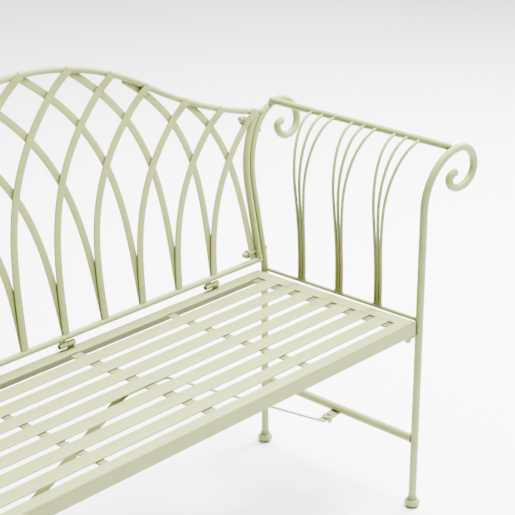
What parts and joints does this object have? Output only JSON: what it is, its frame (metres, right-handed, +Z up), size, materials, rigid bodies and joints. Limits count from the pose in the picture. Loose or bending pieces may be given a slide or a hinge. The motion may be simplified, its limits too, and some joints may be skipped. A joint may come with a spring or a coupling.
{
  "type": "garden bench",
  "caption": "Steel garden bench with leaning lattice back, scrolled ends, fanned rods under level arms, slatted seat and arched brace",
  "frame": {"origin": "on the floor, under the middle of the bench's overall box", "axes": "+X along the bench's length, to the right of someone who faces the seat from the front; -Y to the front; +Z up"},
  "size_m": [1.4612, 0.548, 0.9486],
  "materials": {
    "frame_paint": "satin pale sage powder coat",
    "hardware_paint": "satin pale sage paint over fasteners"
  },
  "bodies": {
    "root": {"arm_rail_left": "frame_paint", "arm_rail_right": "frame_paint", "back_bolt_lower_left": "hardware_paint", "back_bolt_lower_right": "hardware_paint", "back_bolt_upper_left": "hardware_paint", "back_bolt_upper_right": "hardware_paint", "back_bottom_rail": "frame_paint", "back_top_rail": "frame_paint", "back_upright_left": "frame_paint", "back_upright_right": "frame_paint", "brace_bolt_left": "hardware_paint", "brace_bolt_right": "hardware_paint", "foot_front_left": "frame_paint", "foot_front_right": "frame_paint", "foot_rear_left": "frame_paint", "foot_rear_right": "frame_paint", "front_leg_left": "frame_paint", "front_leg_right": "frame_paint", "hinge_pin_centre": "hardware_paint", "hinge_pin_left": "hardware_paint", "hinge_pin_right": "hardware_paint", "lattice_pair_1": "frame_paint", "lattice_pair_2": "frame_paint", "lattice_pair_3": "frame_paint", "lattice_pair_4": "frame_paint", "lattice_pair_5": "frame_paint", "lattice_pair_6": "frame_paint", "lattice_pair_7": "frame_paint", "lattice_pair_8": "frame_paint", "lattice_pair_9": "frame_paint", "rear_leg_left": "frame_paint", "rear_leg_right": "frame_paint", "seat_bearer_left": "frame_paint", "seat_bearer_right": "frame_paint", "seat_bolt_left": "hardware_paint", "seat_bolt_right": "hardware_paint", "seat_brace": "frame_paint", "seat_crossbar_centre": "frame_paint", "seat_crossbar_left": "frame_paint", "seat_crossbar_right": "frame_paint", "seat_rail_front": "frame_paint", "seat_rail_left": "frame_paint", "seat_rail_rear": "frame_paint", "seat_rail_right": "frame_paint", "seat_slat_1": "frame_paint", "seat_slat_2": "frame_paint", "seat_slat_3": "frame_paint", "seat_slat_4": "frame_paint", "seat_slat_5": "frame_paint", "seat_slat_6": "frame_paint", "seat_slat_7": "frame_paint", "side_stretcher_left": "frame_paint", "side_stretcher_right": "frame_paint", "spindle_fan_left_1": "frame_paint", "spindle_fan_left_2": "frame_paint", "spindle_fan_left_3": "frame_paint", "spindle_fan_right_1": "frame_paint", "spindle_fan_right_2": "frame_paint", "spindle_fan_right_3": "frame_paint"}
  },
  "joints": []
}
